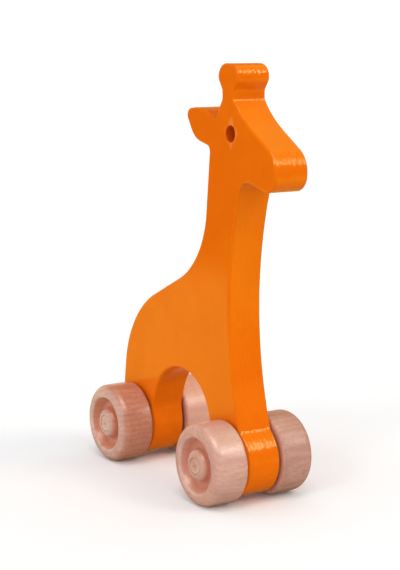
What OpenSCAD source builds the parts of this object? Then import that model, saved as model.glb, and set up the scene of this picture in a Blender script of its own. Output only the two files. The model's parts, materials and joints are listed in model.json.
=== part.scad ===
// Wheeled giraffe: a giraffe sawn from one painted board, rolling on four turned wooden wheels.
// Each pair of wheels is glued to a dowel that turns in a hole through the feet.
// Sizes are in millimetres. +X is forward, +Y is the giraffe's left, +Z is up, the floor is z = 0.
// The origin is on the floor, under the middle of the whole toy.

/* [Whole toy] */
// Height from the floor to the top of the horn
toy_h = 205; // [190:0.5:225]

/* [Board] */
// Thickness of the board
board_t = 18; // [14:0.5:24]
// Least gap between the feet and the floor
foot_gap = 2; // [1:0.25:5]

/* [Wheels] */
// Distance between the two axles
wheelbase = 85.6; // [78:0.2:96]
// Outside diameter of a wheel
wheel_d = 39.2; // [34:0.1:44]
// Width of a wheel along its axle
wheel_w = 17.5; // [14:0.1:20]
// Side gap between the board and a wheel
wheel_gap = 1.25; // [0.5:0.25:3]
// Rounding of the tread towards the wheel's face
tread_face_r = 4.3; // [2:0.1:5]
// Rounding of the tread towards the board
tread_back_r = 1.6; // [0.5:0.1:3]
// Diameter of the dish in the wheel's face, at its mouth
dish_d = 27.2; // [24:0.2:28]
// Diameter of the dish at its floor
dish_floor_d = 22; // [20:0.5:24]
// Depth of the dish
dish_depth = 5.25; // [3:0.25:8]
// Rounding of the dish's mouth
dish_lip_r = 1.8; // [0.4:0.1:2.6]
// Rounding between the dish's floor and its walls
dish_cove_r = 2.4; // [1:0.1:3]
// Diameter of the hub in the dish
hub_d = 15.2; // [12:0.2:16]
// How far the hub's end lies below the wheel's face
hub_set = 0; // [0:0.1:2]
// Rounding of the hub's end
hub_edge_r = 2.6; // [0.4:0.1:3]

/* [Axles] */
// Diameter of the dowel
axle_d = 8; // [6:0.1:9]
// Radial clearance of the dowel in the feet
axle_play = 0.08; // [0.05:0.01:0.3]
// Radial thickness of the glue between dowel and wheel
glue_t = 0.05; // [0.02:0.01:0.1]
// How far the dowel stands out of the hub, less than zero where it is set in
axle_proud = -0.1; // [-1:0.1:1]
// Rounding of the dowel's ends
axle_end_r = 0.3; // [0.2:0.1:2]

/* [Legs] */
// Height of the arch between the legs, above the axles
arch_h = 35.5; // [30:0.1:44]
// Width of the arch across its top, where its sides would meet it
arch_top_w = 36.9; // [30:0.1:42]
// Outward lean of the arch's sides, in degrees
arch_lean = 19.8; // [10:0.1:24]
// Rounding of the arch's top
arch_r = 24; // [12:0.5:25]
// How far the arch sits ahead of the middle between the axles
arch_ahead = 0.6; // [-3:0.1:3]
// How far the front leg's shin lies ahead of the front axle, at the axle
shin_ahead = 13.9; // [12:0.1:17]
// How far the hind leg's hock lies behind the rear axle, at the axle
hock_behind = 14.6; // [12:0.1:16]
// Rounding where the shin and the hock run into the feet
leg_foot_r = 5; // [1:0.5:10]
// Rounding where the arch's sides run into the feet
arch_foot_r = 10; // [1:0.5:14]

/* [Chest and back] */
// How far the hollow of the chest reaches behind the front axle
chest_behind = 7.7; // [5:0.1:11]
// Height of the chest's hollow above the axles
chest_h = 72; // [60:0.5:85]
// Radius of the chest's hollow
chest_r = 185; // [100:5:190]
// How far the withers lie behind the front axle
withers_behind = 23.9; // [20:0.1:30]
// Height of the withers above the axles
withers_h = 91; // [80:0.5:100]
// Radius of the sweep from neck to back
withers_r = 43; // [25:1:50]
// How far the rump's corner lies behind the rear axle
rump_behind = 9.1; // [4:0.1:12]
// Height of the rump's corner above the axles
rump_h = 55.7; // [48:0.1:64]
// Radius of the rump
rump_r = 52; // [25:1:58]

/* [Head] */
// How far the eye lies ahead of the front axle
eye_ahead = -1.7; // [-6:0.1:6]
// Diameter of the hole that makes the eye
eye_d = 7.6; // [5:0.1:9]
// Length of the head from the eye to the tip of the nose
nose_l = 36.2; // [30:0.2:42]
// Radius of the nose's upper corner
nose_r = 12; // [6:0.5:13]
// Drop from the eye to the top of the nose
nose_drop = 8.5; // [5:0.1:11]
// Drop from the eye to the chin
chin_drop = 26.5; // [23:0.1:29]
// Radius of the chin
chin_r = 7.8; // [4:0.2:9]
// Drop from the eye to the throat
throat_drop = 19.5; // [16:0.1:22]
// How far the throat lies ahead of the eye
throat_ahead = 9.3; // [5:0.1:11]
// Radius of the throat
throat_r = 7; // [3:0.2:9]
// How far the hollow of the brow lies ahead of the eye
brow_ahead = 10.6; // [7:0.1:12]
// Height of the brow's hollow above the eye
brow_rise = 6.5; // [4:0.1:9]
// Radius of the brow's hollow
brow_r = 56; // [20:2:70]
// Drop from the eye to the nape, where the ear meets the neck
nape_drop = 7; // [4:0.1:10]
// How far the nape lies behind the eye
nape_behind = 16.7; // [15:0.1:21]
// Radius of the nape
nape_r = 3; // [1:0.25:4]

/* [Horn] */
// Height of the horn's top above the eye
horn_rise = 31.7; // [28:0.1:38]
// Width of the horn's knob
knob_w = 16.1; // [13:0.1:20]
// Height of the knob's straight side
knob_h = 7.8; // [7:0.2:11]
// Rounding of the knob's upper corners
knob_r = 5.9; // [2:0.1:7]
// Rounding of the knob's lower corners
knob_under_r = 4.2; // [1:0.1:4.5]
// Width of the stem under the knob
stem_w = 9; // [7:0.1:11]
// Height over which the knob narrows to the stem
knob_taper_h = 4; // [2:0.1:5]
// Rounding where the knob meets the stem
stem_r = 3; // [1:0.1:4]
// How far the stem's front lies ahead of the eye
stem_ahead = 2; // [-1:0.1:3]
// Height of the stem's foot above the eye
stem_rise = 15.4; // [13:0.1:18]
// Rounding where the stem meets the brow
stem_foot_r = 3; // [0.4:0.1:3]

/* [Ear] */
// How far the notch before the ear lies behind the eye
notch_behind = 12.2; // [11:0.1:16]
// Height of the notch above the eye
notch_rise = 6.2; // [4:0.1:9]
// Rounding of the notch
notch_r = 0.6; // [0.2:0.1:1.5]
// How far the ear's upper corner lies behind the eye
ear_top_behind = 26; // [24:0.1:31]
// Height of the ear's upper corner above the eye
ear_top_rise = 11.2; // [9:0.1:14]
// Rounding of the ear's upper corner
ear_top_r = 26; // [5:1:28]
// How far the ear's tip lies behind the eye
ear_tip_behind = 39.2; // [36:0.1:46]
// Height of the ear's tip above the eye
ear_tip_rise = 9; // [6:0.1:10]
// Rounding of the ear's tip
ear_tip_r = 3.3; // [1:0.1:3.5]
// How far the ear's lower corner lies behind the eye
ear_low_behind = 30.4; // [28:0.1:34]
// Drop from the eye to the ear's lower corner
ear_low_drop = 4.7; // [2:0.1:6]
// Rounding of the ear's lower corner
ear_low_r = 12; // [4:0.5:13]

/* [Hidden] */

paint = "darkorange";
beech = "burlywood";

// Farthest that a straight step may lie from the arc that it stands for
arc_step_gap = 0.01;
// How far the rounding at a foot reaches into the edges that it joins
fillet_bite = 0.01;
// Sides of a drawn circle
$fn = 180;

axle_h = wheel_d / 2;
foot_r = axle_h - foot_gap;
axle_r = axle_d / 2;
front_x = wheelbase / 2;
rear_x = -wheelbase / 2;
eye = [front_x + eye_ahead, toy_h - axle_h - horn_rise];
wheel_y = board_t / 2 + wheel_gap;
hub_end = wheel_w - hub_set;
axle_l = 2 * (wheel_y + hub_end + axle_proud);

// The toy reaches from the back of the rear wheels to the tip of the nose
middle_x = (rear_x - wheel_d / 2 + eye[0] + nose_l) / 2;

// Corner i of a closed list of corners [x, y, rounding], as a plain point
function at(corners, i) =
    let (c = corners[(i + len(corners)) % len(corners)])
    [c[0], c[1]];

function unit(v) = v / norm(v);

// Half of the angle inside corner i
function half_angle(corners, i) =
    let (
        back = unit(at(corners, i - 1) - at(corners, i)),
        on = unit(at(corners, i + 1) - at(corners, i))
    )
    acos(max(-1, min(1, back * on))) / 2;

// Length that the rounding of corner i takes from each of its sides
function reach(corners, i) =
    let (k = (i + len(corners)) % len(corners))
    corners[k][2] / tan(half_angle(corners, k));

// Share of the wanted roundings that fits on the side from corner i to the next
function side_share(corners, i) =
    let (
        room = norm(at(corners, i + 1) - at(corners, i)),
        wanted = reach(corners, i) + reach(corners, i + 1)
    )
    wanted > room ? room / wanted : 1;

// Points of an arc, from the angle start through the angle sweep
function arc(centre, r, start, sweep) =
    let (steps = ceil(abs(sweep) / (2 * acos(1 - arc_step_gap / r))))
    [for (k = [0 : steps]) centre + r * [cos(start + sweep * k / steps), sin(start + sweep * k / steps)]];

// Points of corner i, rounded as far as its two sides allow
function round_corner(corners, i) =
    let (
        p = at(corners, i),
        r = corners[i][2] * min(side_share(corners, i - 1), side_share(corners, i)),
        half = half_angle(corners, i),
        back = unit(at(corners, i - 1) - p),
        on = unit(at(corners, i + 1) - p)
    )
    r == 0 ? [p] :
    let (
        centre = p + unit(back + on) * r / sin(half),
        first = p + back * r / tan(half) - centre,
        side = sign(back[1] * on[0] - back[0] * on[1]),
        start = atan2(first[1], first[0])
    )
    arc(centre, r, start, side * (180 - 2 * half));

function rounded(corners) = [for (i = [0 : len(corners) - 1]) each round_corner(corners, i)];

// Corner of the giraffe's outline, placed from the eye
function from_eye(ahead, rise, r) = [eye[0] + ahead, eye[1] + rise, r];

// Outline of the board without its feet, from the shin over the head to the hock
outline = let (
    knob_front = stem_ahead + (knob_w - stem_w) / 2,
    knob_back = knob_front - knob_w,
    stem_back = stem_ahead - stem_w,
    knob_low = horn_rise - knob_h
) [
    [front_x + shin_ahead, 0, 0],
    [front_x - chest_behind, chest_h, chest_r],
    from_eye(throat_ahead, -throat_drop, throat_r),
    from_eye(nose_l, -chin_drop, chin_r),
    from_eye(nose_l, -nose_drop, nose_r),
    from_eye(brow_ahead, brow_rise, brow_r),
    from_eye(stem_ahead, stem_rise, stem_foot_r),
    from_eye(stem_ahead, knob_low - knob_taper_h, stem_r),
    from_eye(knob_front, knob_low, knob_under_r),
    from_eye(knob_front, horn_rise, knob_r),
    from_eye(knob_back, horn_rise, knob_r),
    from_eye(knob_back, knob_low, knob_under_r),
    from_eye(stem_back, knob_low - knob_taper_h, stem_r),
    from_eye(stem_back, stem_rise, stem_r),
    from_eye(-notch_behind, notch_rise, notch_r),
    from_eye(-ear_top_behind, ear_top_rise, ear_top_r),
    from_eye(-ear_tip_behind, ear_tip_rise, ear_tip_r),
    from_eye(-ear_low_behind, -ear_low_drop, ear_low_r),
    from_eye(-nape_behind, -nape_drop, nape_r),
    [front_x - withers_behind, withers_h, withers_r],
    [rear_x - rump_behind, rump_h, rump_r],
    [rear_x - hock_behind, 0, 0]
];

// Gap between the legs
arch = let (
    half_top = arch_top_w / 2,
    half_foot = half_top + arch_h * tan(arch_lean)
) [
    [arch_ahead - half_foot, 0, 0],
    [arch_ahead - half_top, arch_h, arch_r],
    [arch_ahead + half_top, arch_h, arch_r],
    [arch_ahead + half_foot, 0, 0]
];

// Half section of a wheel: distance from the axle, distance from the back of the wheel
wheel_section = let (
    bore_r = axle_r + glue_t,
    dish_floor = wheel_w - dish_depth
) [
    [bore_r, 0, 0],
    [wheel_d / 2, 0, tread_back_r],
    [wheel_d / 2, wheel_w, tread_face_r],
    [dish_d / 2, wheel_w, dish_lip_r],
    [dish_floor_d / 2, dish_floor, dish_cove_r],
    [hub_d / 2, dish_floor, dish_cove_r],
    [hub_d / 2, hub_end, hub_edge_r],
    [bore_r, hub_end, 0]
];

// Half section of an axle: distance from its axis, distance along it
axle_section = [
    [0, -axle_l / 2, 0],
    [axle_r, -axle_l / 2, axle_end_r],
    [axle_r, axle_l / 2, axle_end_r],
    [0, axle_l / 2, 0]
];

// Puts a shape drawn at the axles' height in its place above the floor
module in_place(x) {
    translate([x - middle_x, 0, axle_h])
        rotate([90, 0, 0])
            children();
}

// Wood in the hollow corner where an edge of the board, from low to high, runs into the foot at x.
// side is 1 where the edge faces forward, -1 where it faces back.
module foot_fillet(x, low, high, side, r) {
    foot = [x, 0];
    up = unit(high - low);
    out = side * [up[1], -up[0]];
    edge_out = (low - foot) * out;
    if (edge_out < foot_r) {
        turn = acos((edge_out + r) / (foot_r + r));
        middle = foot + (foot_r + r) * (cos(turn) * out + sin(turn) * up);
        start = atan2(-out[1], -out[0]) + (side > 0 ? turn : 0);
        polygon(concat([foot], arc(middle, r + fillet_bite, start, -turn)));
    }
}

module board_face() {
    difference() {
        union() {
            difference() {
                polygon(rounded(outline));
                polygon(rounded(arch));
            }
            for (x = [front_x, rear_x])
                translate([x, 0])
                    circle(foot_r);
            foot_fillet(front_x, at(outline, 0), at(outline, 1), 1, leg_foot_r);
            foot_fillet(rear_x, at(outline, -1), at(outline, -2), -1, leg_foot_r);
            foot_fillet(rear_x, at(arch, 0), at(arch, 1), 1, arch_foot_r);
            foot_fillet(front_x, at(arch, -1), at(arch, -2), -1, arch_foot_r);
        }
        for (x = [front_x, rear_x])
            translate([x, 0])
                circle(axle_r + axle_play);
        translate(eye)
            circle(eye_d / 2);
    }
}

module body() {
    color(paint)
        in_place(0)
            linear_extrude(board_t, center = true)
                board_face();
}

module axle(x) {
    color(beech)
        in_place(x)
            rotate_extrude()
                polygon(rounded(axle_section));
}

// A wheel on the axle at x. side is 1 on the giraffe's right, -1 on its left.
module wheel(x, side) {
    color(beech)
        in_place(x)
            mirror([0, 0, side > 0 ? 0 : 1])
                translate([0, 0, wheel_y])
                    rotate_extrude()
                        polygon(rounded(wheel_section));
}

body();
axle(front_x);  // front_axle
axle(rear_x);  // rear_axle
wheel(front_x, 1);  // front_right_wheel
wheel(front_x, -1);  // front_left_wheel
wheel(rear_x, 1);  // rear_right_wheel
wheel(rear_x, -1);  // rear_left_wheel
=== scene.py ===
"""Looks of the wheeled giraffe toy: a gloss orange board with eased edges, on turned beech wheels."""

import json
import math

import bmesh
import bpy
from mathutils import Matrix, Vector


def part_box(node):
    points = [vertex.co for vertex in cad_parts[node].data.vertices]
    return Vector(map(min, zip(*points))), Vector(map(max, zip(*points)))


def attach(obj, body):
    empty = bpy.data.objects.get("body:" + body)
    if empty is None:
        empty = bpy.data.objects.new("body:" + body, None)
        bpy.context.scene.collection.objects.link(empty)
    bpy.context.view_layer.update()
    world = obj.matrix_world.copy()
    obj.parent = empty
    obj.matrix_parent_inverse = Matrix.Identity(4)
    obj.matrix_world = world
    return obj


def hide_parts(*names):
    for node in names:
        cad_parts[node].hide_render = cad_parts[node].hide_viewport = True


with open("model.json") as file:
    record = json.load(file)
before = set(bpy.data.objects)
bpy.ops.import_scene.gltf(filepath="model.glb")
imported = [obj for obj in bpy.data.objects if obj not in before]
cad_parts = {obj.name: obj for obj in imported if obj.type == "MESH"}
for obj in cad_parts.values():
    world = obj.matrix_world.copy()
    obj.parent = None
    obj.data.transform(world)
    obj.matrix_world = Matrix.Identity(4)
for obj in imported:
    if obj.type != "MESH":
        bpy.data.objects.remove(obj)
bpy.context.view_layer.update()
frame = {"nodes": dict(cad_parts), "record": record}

MM = 0.001
white = (1, 1, 1, 1)
black = (0, 0, 0, 1)
noise_roughness = 0.5
specular_level = 0.5

# Places of the sockets of a node that mixes two colours
mix_share, mix_first, mix_second, mix_result = 0, 6, 7, 2

# Board: how far its edges are rounded over, and how its mesh is divided
outline_edge_r = 1.2 * MM
eye_edge_r = 1.3 * MM
axle_edge_r = 0.3 * MM
crease_r = 2.6 * MM
tight_reach = 1.5 * MM
tight_turn = math.radians(70)
tight_share = 0.65
blend_reach = 2.5 * MM
sharp_turn = math.radians(15)
crease_steps = 5
edge_steps = 6
band_steps = 4
flat_gap = 0.01 * MM
cut_share = 0.45

# Turned pieces: points closer than this are one, and a sharper turn than this is a corner
weld_gap = 0.002 * MM
turned_corner = math.radians(35)

# Camera: the photograph's frame is 400 by 570 pixels
camera_azimuth = math.radians(57.234)
camera_elevation = math.radians(10.382)
camera_roll = math.radians(0.496)
camera_distance = 0.7328
camera_target = Vector((-0.004275, 0, 0.09655))
camera_lens = 94.75
camera_sensor = 36

# Light: strength of the world at the horizon and overhead; direction, strength, width and colour of lamps
world_low = 1.45
world_high = 0.42
lamps = {
    "front_lamp": (Vector((0.64, 0.42, 0.64)), 0.5, math.radians(22), (1.0, 0.92, 0.70)),
    "top_lamp": (Vector((0.30, -0.26, 0.92)), 0.5, math.radians(24), (1.0, 1.0, 1.0)),
    "side_lamp": (Vector((0.29, -0.77, 0.47)), 0.35, math.radians(16), (1.0, 1.0, 1.0)),
}
floor_radius = 60
floor_sides = 64
floor_seen = (0.97, 0.985, 1.0, 1)
floor_bounce = (0.72, 0.72, 0.72, 1)

# Sheets that only gloss shows: corners, and the colour of their glow
mirrored_sheets = {
    "mirrored_far_table": (
        ((-0.90, -0.345, 0), (-0.09, -0.345, 0), (-0.09, 0.50, 0), (-0.90, 0.50, 0)),
        (0.78, 0.74, 0.15, 1),
    ),
    "mirrored_near_table": (
        ((-0.09, 0.06, 0), (0.20, 0.06, 0), (0.20, 0.40, 0), (-0.09, 0.40, 0)),
        (0.50, 0.42, 0.18, 1),
    ),
    # Dim sheet under the toy: painted shade of the floor there, as the gloss shows it.
    "mirrored_under_table_shade": (
        ((-0.09, -0.05, 0), (0.10, -0.05, 0), (0.10, 0.06, 0), (-0.09, 0.06, 0)),
        (0.22, 0.15, 0.05, 1),
    ),
    "mirrored_front_table": (
        ((0.20, 0.08, 0), (0.90, 0.08, 0), (0.90, 0.70, 0), (0.20, 0.70, 0)),
        (0.80, 0.80, 0.10, 1),
    ),
    "mirrored_card": (
        ((-0.60, -0.20, 0), (-0.60, 0.70, 0), (-0.60, 0.70, 0.27), (-0.60, -0.20, 0.27)),
        (1.10, 0.90, 0.62, 1),
    ),
    "mirrored_high_card": (
        ((-0.60, -0.20, 0.27), (-0.60, 0.70, 0.27), (-0.60, 0.70, 0.70), (-0.60, -0.20, 0.70)),
        (0.55, 0.28, 0.10, 1),
    ),
    "mirrored_ceiling": (
        ((-4.5, -1.5, 6.0), (9.7, -1.5, 6.0), (9.7, 9.0, 6.0), (-4.5, 9.0, 6.0)),
        (0.9, 0.9, 0.18, 1),
    ),
}
# Windows that only gloss shows: direction, half width and half height at a distance of 1, and their glow
mirrored_windows = {
    "mirrored_front_window": (Vector((0.62, 0.42, 0.64)), 0.155, 0.20, (6.6, 6.6, 6.6, 1)),
    "mirrored_top_window": (Vector((0.36, -0.24, 0.90)), 0.40, 0.34, (4.5, 4.5, 4.5, 1)),
}
window_distance = 5

# Paint: linear colours, with a painted highlight on the rounded edges, a pale patch round the eye of wear
# and painted highlight, painted shade in the eye's hole, and waves in a metre of each pattern
paint_deep = (0.825, 0.147, 0.001, 1)
paint_light = (0.865, 0.162, 0.0015, 1)
# Rounded edges: thinner paint and a painted highlight
paint_edge_sheen = (0.88, 0.20, 0.004, 1)
# Round the eye: wear and a painted highlight
paint_worn_glint = (0.93, 0.31, 0.065, 1)
# Painted shade in the eye's hole
paint_hole_shade = (0.67, 0.092, 0.0006, 1)
paint_gloss = (0.95, 1.0, 0.42, 1)
worn_glint_ahead = 0.8 * MM
worn_glint_rise = 0.3 * MM
worn_glint_reach = 6.9 * MM
worn_glint_stretch = 1.33
worn_glint_share = 0.42
worn_glint_uneven_waves = (420, 420, 300)
worn_glint_uneven = 4 * MM
worn_glint_fade_out = 1.5 * MM
worn_glint_fade_in = 0.5 * MM
hole_shade_fade = 0.4 * MM
band_range = (0.75, 0.25)
paint_cloud_waves = (55, 55, 55)
paint_cloud_range = (0.3, 0.7)
thin_sheen_share = 0.15
ripple_waves = (260, 650, 260)
ripple_depth = 0.30 * MM
peel_waves = (420, 420, 420)
peel_depth = 0.004 * MM
dull_waves = (300, 300, 300)
paint_roughness = (0.09, 0.15)

# Beech: linear colours, then waves in a metre, shares and depths of what makes up its grain
beech_pale = (0.73, 0.410, 0.313, 1)
beech_dark = (0.49, 0.220, 0.142, 1)
beech_fleck = (0.34, 0.145, 0.090, 1)
# Painted shade down in a wheel's dish
beech_dish_shade = (0.69, 0.268, 0.163, 1)
# Paler lip: wear and a painted highlight
beech_worn_sheen = (0.80, 0.55, 0.47, 1)
face_range = (0.5, 0.95)
ring_pitch = 2.6 * MM
ring_waver_waves = (110, 25, 110)
ring_waver = 5 * MM
ring_share = 0.35
cloud_waves = (130, 45, 130)
cloud_range = (0.3, 0.7)
cloud_share = 0.65
fleck_waves = (1500, 380, 1500)
fleck_range = (0.52, 0.68)
fleck_share = 0.5
shade_share = 0.5
centre_dot_range = (0.8 * MM, 0.3 * MM)
centre_dot_share = 0.7
pore_depth = 0.03 * MM
pore_strength = 0.6
streak_waves = (650, 70, 650)
streak_depth = 0.05 * MM

# Dish of a wheel: its mouth as a share of the wheel's radius, its redder colour of painted shade, and its
# lip, paler from wear and a painted highlight
mouth_share = 0.69
dish_depth_range = (0.4 * MM, 2.4 * MM)
dish_shade_share = 0.75
lip_width = 1.0 * MM
lip_offset = 0.3 * lip_width
lip_core = 0.2 * lip_width
lip_depth_range = (1.6 * MM, 0.6 * MM)
lip_uneven_waves = (160, 160, 160)
lip_uneven_range = (0.3, 0.7)
lip_share = 0.6

# Turned pieces: where the pith lies from the axis, colours of tread and face, place in the grain, roughness
axle_shade = (0.60, 0.30, 0.21, 1)
hidden_face_shade = (0.62, 0.33, 0.25, 1)
turned_nodes = {
    "front_right_wheel": {
        "pith": (45 * MM, 60 * MM),
        "tread_shade": (0.67, 0.39, 0.32, 1),
        "face_shade": (0.69, 0.39, 0.30, 1),
        "grain_shift": (3.1, 0.4, 7.7),
        "roughness_range": (0.22, 0.36),
    },
    "front_left_wheel": {
        "pith": (-70 * MM, 20 * MM),
        "tread_shade": (0.40, 0.19, 0.15, 1),
        "face_shade": hidden_face_shade,
        "grain_shift": (11.3, 5.2, 1.9),
        "roughness_range": (0.42, 0.56),
    },
    "rear_right_wheel": {
        "pith": (30 * MM, -75 * MM),
        "tread_shade": (0.56, 0.17, 0.08, 1),
        "face_shade": (0.66, 0.43, 0.375, 1),
        "grain_shift": (6.4, 9.1, 4.3),
        "roughness_range": (0.22, 0.36),
    },
    # Its tread is painted paler for the light from the front that falls on it through the arch.
    "rear_left_wheel": {
        "pith": (-50 * MM, -55 * MM),
        "tread_shade": (0.98, 0.54, 0.41, 1),
        "face_shade": hidden_face_shade,
        "grain_shift": (8.8, 2.7, 12.5),
        "roughness_range": (0.32, 0.46),
    },
    "front_axle": {
        "pith": (20 * MM, 30 * MM),
        "tread_shade": axle_shade,
        "face_shade": axle_shade,
        "grain_shift": (1.2, 7.5, 9.6),
        "roughness_range": (0.30, 0.45),
    },
    "rear_axle": {
        "pith": (-25 * MM, 35 * MM),
        "tread_shade": axle_shade,
        "face_shade": (0.70, 0.50, 0.46, 1),
        "grain_shift": (4.9, 3.3, 2.2),
        "roughness_range": (0.30, 0.45),
    },
}


def feed(tree, socket, value):
    """Links the socket to another node's output, or sets it to a plain value."""
    if isinstance(value, bpy.types.NodeSocket):
        tree.links.new(value, socket)
    else:
        socket.default_value = value


def add_node(tree, kind, settings=None, inputs=None):
    """A new shader node, with its settings, and with inputs that are values or another node's output."""
    node = tree.nodes.new(kind)
    for name, value in (settings or {}).items():
        setattr(node, name, value)
    for name, value in (inputs or {}).items():
        feed(tree, node.inputs[name], value)
    return node


def calculate(tree, operation, first, second=0.0):
    """The output of a Math node."""
    node = add_node(tree, "ShaderNodeMath", {"operation": operation})
    for socket, value in zip(node.inputs, (first, second)):
        feed(tree, socket, value)
    return node.outputs[0]


def smooth_step(tree, value, low, high):
    """A smooth rise from 0 where the value is low to 1 where it is high."""
    node = add_node(
        tree,
        "ShaderNodeMapRange",
        {"interpolation_type": "SMOOTHSTEP"},
        {"Value": value, "From Min": low, "From Max": high},
    )
    return node.outputs["Result"]


def mix_colour(tree, share, first, second):
    """Two colours mixed by a share from 0 to 1."""
    node = add_node(tree, "ShaderNodeMix", {"data_type": "RGBA"})
    for place, value in ((mix_share, share), (mix_first, first), (mix_second, second)):
        feed(tree, node.inputs[place], value)
    return node.outputs[mix_result]


def noise(tree, place, waves, detail=1.0, offset=(0, 0, 0)):
    """Noise with its own number of waves per metre along x, y and z."""
    stretched = add_node(
        tree, "ShaderNodeMapping", None, {"Vector": place, "Scale": waves, "Location": offset}
    )
    node = add_node(
        tree,
        "ShaderNodeTexNoise",
        None,
        {
            "Vector": stretched.outputs["Vector"],
            "Scale": 1.0,
            "Detail": detail,
            "Roughness": noise_roughness,
        },
    )
    return node.outputs["Fac"]


def bump(tree, height, depth, strength=1.0, invert=False, under=None):
    """The normal of a surface that rises with the height, over another bump if there is one under it."""
    inputs = {"Height": height, "Strength": strength, "Distance": depth}
    if under is not None:
        inputs["Normal"] = under
    return add_node(tree, "ShaderNodeBump", {"invert": invert}, inputs).outputs["Normal"]


def new_material(name):
    """An empty material, with its node tree and its main shader."""
    material = bpy.data.materials.new(name)
    material.use_nodes = True
    tree = material.node_tree
    return material, tree, tree.nodes["Principled BSDF"]


def sideways(tree, coordinates):
    """How far the surface faces along the axles, from 0 to 1."""
    split = add_node(tree, "ShaderNodeSeparateXYZ", None, {"Vector": coordinates.outputs["Normal"]})
    return calculate(tree, "ABSOLUTE", split.outputs["Y"])


def length_across(tree, place, middle):
    """How far the place is from a line along y through the middle (x, z)."""
    away = add_node(
        tree,
        "ShaderNodeVectorMath",
        {"operation": "SUBTRACT"},
        {0: place, 1: (middle[0], 0, middle[1])},
    )
    across = add_node(
        tree,
        "ShaderNodeVectorMath",
        {"operation": "MULTIPLY"},
        {0: away.outputs[0], 1: (1, 0, 1)},
    )
    length = add_node(tree, "ShaderNodeVectorMath", {"operation": "LENGTH"}, {0: across.outputs[0]})
    return length.outputs["Value"]


def set_roughness(tree, shader, value, bounds):
    """Makes the shader's roughness go from the first bound to the second as the value goes from 0 to 1."""
    low, high = bounds
    roughness = add_node(tree, "ShaderNodeMapRange", None, {"Value": value, "To Min": low, "To Max": high})
    tree.links.new(roughness.outputs["Result"], shader.inputs["Roughness"])


def paint_at_eye(tree, place, colour):
    """The colour of the paint round the eye: a pale pointed patch of wear and painted highlight, and
    painted shade deeper in the hole.
    """
    eye = next(mount for mount in frame["record"]["mounts"] if mount["name"] == "eye_hole")
    eye_x, _, eye_z = eye["pos_m"]
    eye_r = eye["dims"]["r_mm"] * MM
    # The pale pointed patch round the eye paints wear and a highlight on the hole's rim.
    from_patch = add_node(
        tree,
        "ShaderNodeVectorMath",
        {"operation": "SUBTRACT"},
        {0: place, 1: (eye_x + worn_glint_ahead, 0, eye_z + worn_glint_rise)},
    )
    split = add_node(tree, "ShaderNodeSeparateXYZ", None, {"Vector": from_patch.outputs[0]})
    along = calculate(tree, "ABSOLUTE", split.outputs["X"])
    rise = calculate(tree, "DIVIDE", calculate(tree, "ABSOLUTE", split.outputs["Z"]), worn_glint_stretch)
    uneven = calculate(tree, "MULTIPLY", noise(tree, place, worn_glint_uneven_waves), worn_glint_uneven)
    reach = calculate(tree, "ADD", calculate(tree, "ADD", along, rise), uneven)
    patch = smooth_step(tree, reach, worn_glint_reach + worn_glint_fade_out, worn_glint_reach - worn_glint_fade_in)
    colour = mix_colour(tree, calculate(tree, "MULTIPLY", patch, worn_glint_share), colour, paint_worn_glint)
    # Painted shade: the paint turns darker down the eye's hole.
    from_eye = length_across(tree, place, (eye_x, eye_z))
    hole_shade = smooth_step(tree, from_eye, eye_r + hole_shade_fade, eye_r)
    return mix_colour(tree, hole_shade, colour, paint_hole_shade)


def paint_material():
    """Gloss paint: smooth on the flat sides, rippled along the sawn edge, paler where it is rounded, from
    thinner paint and a painted highlight.
    """
    material, tree, shader = new_material("orange_gloss_paint")
    coordinates = add_node(tree, "ShaderNodeTexCoord")
    place = coordinates.outputs["Object"]
    band = smooth_step(tree, sideways(tree, coordinates), *band_range)
    cloud = smooth_step(tree, noise(tree, place, paint_cloud_waves, detail=2.0), *paint_cloud_range)
    colour = mix_colour(tree, cloud, paint_deep, paint_light)
    # Painted highlight along the rounded edges, together with the paint being thinner there.
    edge = add_node(tree, "ShaderNodeAttribute", {"attribute_name": "edge"})
    thin_and_sheen = calculate(tree, "MULTIPLY", edge.outputs["Fac"], thin_sheen_share)
    colour = mix_colour(tree, thin_and_sheen, colour, paint_edge_sheen)
    colour = paint_at_eye(tree, place, colour)
    tree.links.new(colour, shader.inputs["Base Color"])

    ripple = noise(tree, place, ripple_waves, detail=2.0)
    ripple = calculate(tree, "MULTIPLY", ripple, band)
    skin = bump(tree, noise(tree, place, peel_waves), peel_depth)
    surface = bump(tree, ripple, ripple_depth, under=skin)
    tree.links.new(surface, shader.inputs["Normal"])
    set_roughness(tree, shader, noise(tree, place, dull_waves), paint_roughness)
    shader.inputs["Specular IOR Level"].default_value = specular_level
    shader.inputs["Specular Tint"].default_value = paint_gloss
    return material


def dish_colour(tree, place, colour, centre, half_size):
    """The colour of a wheel, with painted shade making it redder down in its dish, and its lip paler from
    wear and a painted highlight.
    """
    mouth_r = mouth_share * half_size.z
    split = add_node(tree, "ShaderNodeSeparateXYZ", None, {"Vector": place})
    outward = calculate(tree, "ABSOLUTE", split.outputs["Y"])
    depth = calculate(tree, "SUBTRACT", abs(centre.y) + half_size.y, outward)
    radius = length_across(tree, place, (centre.x, centre.z))
    # Painted shade: redder and darker down in the dish.
    inside = smooth_step(tree, radius, mouth_r + lip_width / 2, mouth_r - lip_width / 2)
    dish_shade = calculate(tree, "MULTIPLY", inside, smooth_step(tree, depth, *dish_depth_range))
    colour = mix_colour(tree, calculate(tree, "MULTIPLY", dish_shade, dish_shade_share), colour, beech_dish_shade)
    # The lip is painted paler, partly wear and partly a highlight on its rounding.
    past_lip = calculate(tree, "SUBTRACT", radius, mouth_r + lip_offset)
    lip = smooth_step(tree, calculate(tree, "ABSOLUTE", past_lip), lip_width, lip_core)
    lip = calculate(tree, "MULTIPLY", lip, smooth_step(tree, depth, *lip_depth_range))
    uneven = smooth_step(tree, noise(tree, place, lip_uneven_waves, detail=2.0), *lip_uneven_range)
    worn_and_sheen = calculate(tree, "MULTIPLY", calculate(tree, "MULTIPLY", lip, uneven), lip_share)
    return mix_colour(tree, worn_and_sheen, colour, beech_worn_sheen)


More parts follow.
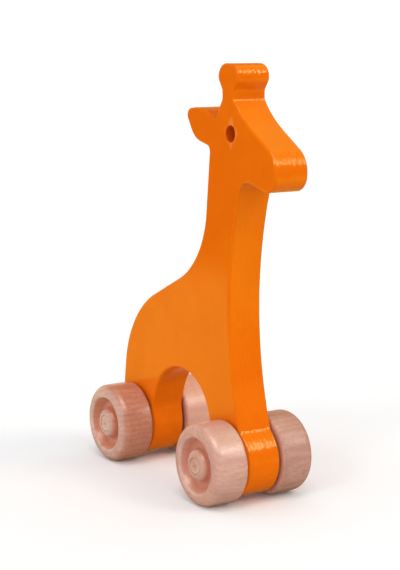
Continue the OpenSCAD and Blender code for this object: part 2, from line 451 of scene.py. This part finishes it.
def beech_material(name, centre, half_size, pith, tread_shade, face_shade, grain_shift, roughness_range):
    """Turned beech: faint growth rings round a far pith, dark flecks and fine streaks along the grain."""
    material, tree, shader = new_material(name)
    coordinates = add_node(tree, "ShaderNodeTexCoord")
    place = coordinates.outputs["Object"]
    face = smooth_step(tree, sideways(tree, coordinates), *face_range)

    distance = length_across(tree, place, (centre.x + pith[0], centre.z + pith[1]))
    waver = noise(tree, place, ring_waver_waves, detail=2.0, offset=grain_shift)
    wavered = calculate(tree, "ADD", distance, calculate(tree, "MULTIPLY", waver, ring_waver))
    rings = calculate(tree, "SINE", calculate(tree, "MULTIPLY", wavered, math.tau / ring_pitch))
    rings = smooth_step(tree, rings, -1.0, 1.0)
    cloud = noise(tree, place, cloud_waves, detail=3.0, offset=grain_shift)
    cloud = smooth_step(tree, cloud, *cloud_range)
    ring_tone = calculate(tree, "MULTIPLY", rings, ring_share)
    cloud_tone = calculate(tree, "MULTIPLY", cloud, cloud_share)
    colour = mix_colour(tree, calculate(tree, "ADD", ring_tone, cloud_tone), beech_pale, beech_dark)
    flecks = noise(tree, place, fleck_waves, detail=1.0, offset=grain_shift)
    flecks = smooth_step(tree, flecks, *fleck_range)
    colour = mix_colour(tree, calculate(tree, "MULTIPLY", flecks, fleck_share), colour, beech_fleck)
    shade = mix_colour(tree, face, tread_shade, face_shade)
    colour = mix_colour(tree, shade_share, colour, shade)
    colour = dish_colour(tree, place, colour, centre, half_size)
    dot = smooth_step(tree, length_across(tree, place, (centre.x, centre.z)), *centre_dot_range)
    colour = mix_colour(tree, calculate(tree, "MULTIPLY", dot, centre_dot_share), colour, beech_fleck)
    tree.links.new(colour, shader.inputs["Base Color"])

    pores = bump(tree, flecks, pore_depth, pore_strength, invert=True)
    streaks = noise(tree, place, streak_waves, detail=2.0, offset=grain_shift)
    grain = bump(tree, streaks, streak_depth, under=pores)
    tree.links.new(grain, shader.inputs["Normal"])
    set_roughness(tree, shader, cloud, roughness_range)
    shader.inputs["Specular IOR Level"].default_value = specular_level
    return material


def boundary_loops(mesh, side_y):
    """Closed loops of points (x, z) round the flat face at side_y, each with the wood on its right."""
    edges = set()
    for polygon in mesh.polygons:
        corners = [mesh.vertices[i].co for i in polygon.vertices]
        if all(abs(corner.y - side_y) < flat_gap for corner in corners):
            points = [(corner.x, corner.z) for corner in corners]
            edges.update(zip(points, points[1:] + points[:1]))
    follow = {start: end for start, end in edges if (end, start) not in edges}
    loops = []
    while follow:
        point = min(follow)
        loop = []
        while point in follow:
            loop.append(Vector(point))
            point = follow.pop(point)
        loops.append(loop)
    return loops


def ease_corners(loop):
    """The loop with its sharp corners rounded."""
    points = []
    for i, corner in enumerate(loop):
        before = loop[i - 1] - corner
        after = loop[(i + 1) % len(loop)] - corner
        turn = math.pi - before.angle(after)
        if turn < sharp_turn:
            points.append(corner)
            continue
        cut = min(crease_r * math.tan(turn / 2), cut_share * before.length, cut_share * after.length)
        start = corner + cut * before.normalized()
        end = corner + cut * after.normalized()
        for step in range(crease_steps + 1):
            t = step / crease_steps
            points.append((1 - t) ** 2 * start + 2 * t * (1 - t) * corner + t ** 2 * end)
    return points


def inward_normals(loop):
    """At each point of the loop, the direction into the wood."""
    normals = []
    for i, point in enumerate(loop):
        before = (point - loop[i - 1]).normalized()
        after = (loop[(i + 1) % len(loop)] - point).normalized()
        along = (before + after).normalized()
        normals.append(Vector((along.y, -along.x)))
    return normals


def edge_radii(points, radius):
    """Rounding of the edge at each point, less in tight inner corners, where no tool gets to it."""
    count = len(points)
    steps = [points[(i + 1) % count] - points[i] for i in range(count)]
    along = [0.0]
    for step in steps:
        along.append(along[-1] + step.length)
    whole = along.pop()

    def apart(i, j):
        """How far two points are from each other along the loop."""
        gap = abs(along[i] - along[j])
        return min(gap, whole - gap)

    headings = [step.normalized() for step in steps]
    turns = [max(0.0, math.asin(headings[i - 1].cross(headings[i]))) for i in range(count)]
    tightness = []
    for i in range(count):
        turn = sum(turns[j] for j in range(count) if turns[j] > 0 and apart(i, j) < tight_reach)
        tightness.append(min(1.0, turn / tight_turn))
    radii = []
    for i in range(count):
        near = [tightness[j] for j in range(count) if apart(i, j) < blend_reach]
        radii.append(radius * (1 - tight_share * sum(near) / len(near)))
    return radii


def edge_radius(loop, middle_z):
    """How far the edge along this loop is rounded over: outline, eye or axle hole."""
    heights = [point.y for point in loop]
    if max(heights) - min(heights) > middle_z:
        return outline_edge_r
    if min(heights) > middle_z:
        return eye_edge_r
    return axle_edge_r


def edge_profile():
    """Steps from side to side of the board: (share of the level part, side, angle from the side)."""
    angles = [math.pi / 2 * step / edge_steps for step in range(edge_steps + 1)]
    near = [(1.0, 1, angle) for angle in angles]
    across = [(1 - 2 * step / band_steps, 0, math.pi / 2) for step in range(1, band_steps)]
    far = [(-1.0, -1, math.pi - angle) for angle in reversed(angles)]
    return near + across + far


def edge_rings(mesh_in_work, points, radii, half_thickness):
    """Rings of points from side to side round a loop, joined by faces, and their normals and edge marks."""
    inward = inward_normals(points)
    rings = []
    normals = []
    edge_marks = []
    for share, side, angle in edge_profile():
        ring = []
        for point, normal, radius in zip(points, inward, radii):
            place = point + radius * (1 - math.sin(angle)) * normal
            y = share * (half_thickness - radius) + abs(side) * radius * math.cos(angle)
            ring.append(mesh_in_work.verts.new((place.x, y, place.y)))
            outward = -math.sin(angle) * normal
            normals.append((outward.x, math.cos(angle), outward.y))
            edge_marks.append(abs(math.sin(2 * angle)))
        rings.append(ring)
    count = len(points)
    for upper, lower in zip(rings, rings[1:]):
        for i in range(count):
            after = (i + 1) % count
            mesh_in_work.faces.new((upper[i], lower[i], lower[after], upper[after]))
    return rings, normals, edge_marks


def fill_side(mesh_in_work, edges, side):
    """Fills one flat side of the board between its loops, with faces that look outward."""
    filled = bmesh.ops.triangle_fill(mesh_in_work, use_beauty=True, edges=edges, normal=(0, side, 0))
    for face in filled["geom"]:
        if isinstance(face, bmesh.types.BMFace):
            face.normal_update()
            if face.normal.y * side < 0:
                face.normal_flip()


def board_piece(node):
    """The giraffe's board, rebuilt from the outline of the CAD node with its edges rounded over."""
    low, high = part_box(node.name)
    half_thickness = (high.y - low.y) / 2
    middle_z = (high.z + low.z) / 2
    mesh_in_work = bmesh.new()
    normals = []
    edge_marks = []
    side_edges = {1: [], -1: []}
    for loop in boundary_loops(node.data, high.y):
        points = ease_corners(loop)
        radii = edge_radii(points, edge_radius(loop, middle_z))
        rings, ring_normals, ring_marks = edge_rings(mesh_in_work, points, radii, half_thickness)
        normals.extend(ring_normals)
        edge_marks.extend(ring_marks)
        for side, ring in ((1, rings[0]), (-1, rings[-1])):
            pairs = zip(ring, ring[1:] + ring[:1])
            side_edges[side].extend(mesh_in_work.edges.get(pair) for pair in pairs)
    for side, edges in side_edges.items():
        fill_side(mesh_in_work, edges, side)
    mesh = bpy.data.meshes.new("giraffe_board")
    mesh_in_work.to_mesh(mesh)
    mesh_in_work.free()
    mesh.shade_smooth()
    mesh.normals_split_custom_set_from_vertices(normals)
    edge = mesh.attributes.new("edge", "FLOAT", "POINT")
    edge.data.foreach_set("value", edge_marks)
    piece = bpy.data.objects.new("giraffe_board", mesh)
    bpy.context.scene.collection.objects.link(piece)
    return piece


def smooth_turned(node):
    """Shades a turned CAD node smoothly, with its corners kept."""
    weld = node.modifiers.new("weld", "WELD")
    weld.merge_threshold = weld_gap
    split = node.modifiers.new("split", "EDGE_SPLIT")
    split.split_angle = turned_corner
    split.use_edge_sharp = False
    weighted = node.modifiers.new("weighted", "WEIGHTED_NORMAL")
    weighted.keep_sharp = False


def set_material(piece, material):
    """Gives the whole piece one material."""
    piece.data.materials.clear()
    piece.data.materials.append(material)


def make_camera():
    """The camera at the photograph's place and angle."""
    sine_a, cosine_a = math.sin(camera_azimuth), math.cos(camera_azimuth)
    sine_e, cosine_e = math.sin(camera_elevation), math.cos(camera_elevation)
    right = Vector((cosine_a, sine_a, 0))
    back = Vector((sine_a * cosine_e, -cosine_a * cosine_e, sine_e))
    up = back.cross(right)
    turned_right = math.cos(camera_roll) * right + math.sin(camera_roll) * up
    turned_up = back.cross(turned_right)
    data = bpy.data.cameras.new("camera")
    data.lens = camera_lens
    data.sensor_width = camera_sensor
    data.sensor_fit = "AUTO"
    camera = bpy.data.objects.new("camera", data)
    axes = Matrix((turned_right, turned_up, back)).transposed().to_4x4()
    camera.matrix_world = Matrix.Translation(camera_target + camera_distance * back) @ axes
    bpy.context.scene.collection.objects.link(camera)
    bpy.context.scene.camera = camera


def make_light():
    """A white room all round, darker overhead, and three soft lamps."""
    world = bpy.data.worlds.new("studio")
    bpy.context.scene.world = world
    world.use_nodes = True
    tree = world.node_tree
    background = tree.nodes["Background"]
    direction = add_node(tree, "ShaderNodeTexCoord")
    split = add_node(tree, "ShaderNodeSeparateXYZ", None, {"Vector": direction.outputs["Generated"]})
    level = add_node(
        tree,
        "ShaderNodeMapRange",
        None,
        {"Value": split.outputs["Z"], "To Min": world_low, "To Max": world_high},
    )
    tree.links.new(level.outputs["Result"], background.inputs["Strength"])
    background.inputs["Color"].default_value = white
    world.cycles_visibility.glossy = False
    for name, (towards, level, width, colour) in lamps.items():
        data = bpy.data.lights.new(name, "SUN")
        data.energy = level
        data.angle = width
        data.color = colour
        lamp = bpy.data.objects.new(name, data)
        lamp.rotation_euler = towards.to_track_quat("Z", "Y").to_euler()
        bpy.context.scene.collection.objects.link(lamp)


def stage_piece(name, points):
    """A flat matt sheet with these corners, not part of the toy, and its node tree and shader."""
    mesh = bpy.data.meshes.new(name)
    mesh.from_pydata(points, [], [range(len(points))])
    sheet = bpy.data.objects.new(name, mesh)
    bpy.context.scene.collection.objects.link(sheet)
    material, tree, shader = new_material(name)
    shader.inputs["Roughness"].default_value = 1.0
    shader.inputs["Specular IOR Level"].default_value = 0.0
    set_material(sheet, material)
    return sheet, tree, shader


def make_floor():
    """A plain pale floor, which gives the toy less light than it shows the camera."""
    turns = [math.tau * side / floor_sides for side in range(floor_sides)]
    points = [(floor_radius * math.cos(turn), floor_radius * math.sin(turn), 0) for turn in turns]
    floor, tree, shader = stage_piece("pale_floor", points)
    light_path = add_node(tree, "ShaderNodeLightPath")
    seen = light_path.outputs["Is Camera Ray"]
    for ray in ("Is Glossy Ray", "Is Transmission Ray"):
        seen = calculate(tree, "MAXIMUM", seen, light_path.outputs[ray])
    colour = mix_colour(tree, seen, floor_bounce, floor_seen)
    tree.links.new(colour, shader.inputs["Base Color"])
    floor.visible_glossy = False


def window_corners(towards, half_width, half_height):
    """Corners of a far flat sheet that faces the toy."""
    towards = towards.normalized()
    right = towards.cross(Vector((0, 0, 1))).normalized()
    up = right.cross(towards)
    corners = []
    for side, rise in ((-1, -1), (1, -1), (1, 1), (-1, 1)):
        corners.append(window_distance * (towards + side * half_width * right + rise * half_height * up))
    return corners


def make_mirrored_room():
    """What the gloss mirrors: parts of a table, a card, a warm ceiling and two windows round the toy."""
    sheets = dict(mirrored_sheets)
    for name, (towards, half_width, half_height, glow) in mirrored_windows.items():
        sheets[name] = (window_corners(towards, half_width, half_height), glow)
    for name, (points, glow) in sheets.items():
        sheet, _, shader = stage_piece(name, points)
        shader.inputs["Base Color"].default_value = black
        shader.inputs["Emission Color"].default_value = glow
        shader.inputs["Emission Strength"].default_value = 1.0
        sheet.visible_camera = False
        sheet.visible_diffuse = False
        sheet.visible_transmission = False
        sheet.visible_shadow = False


nodes = frame["nodes"]
board = board_piece(nodes["body"])
set_material(board, paint_material())
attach(board, "giraffe")
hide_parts("body")

for name, wood in turned_nodes.items():
    node = nodes[name]
    low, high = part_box(name)
    set_material(node, beech_material(name + "_beech", (low + high) / 2, (high - low) / 2, **wood))
    smooth_turned(node)

make_camera()
make_light()
make_floor()
make_mirrored_room()
bpy.context.scene.view_settings.view_transform = "Standard"
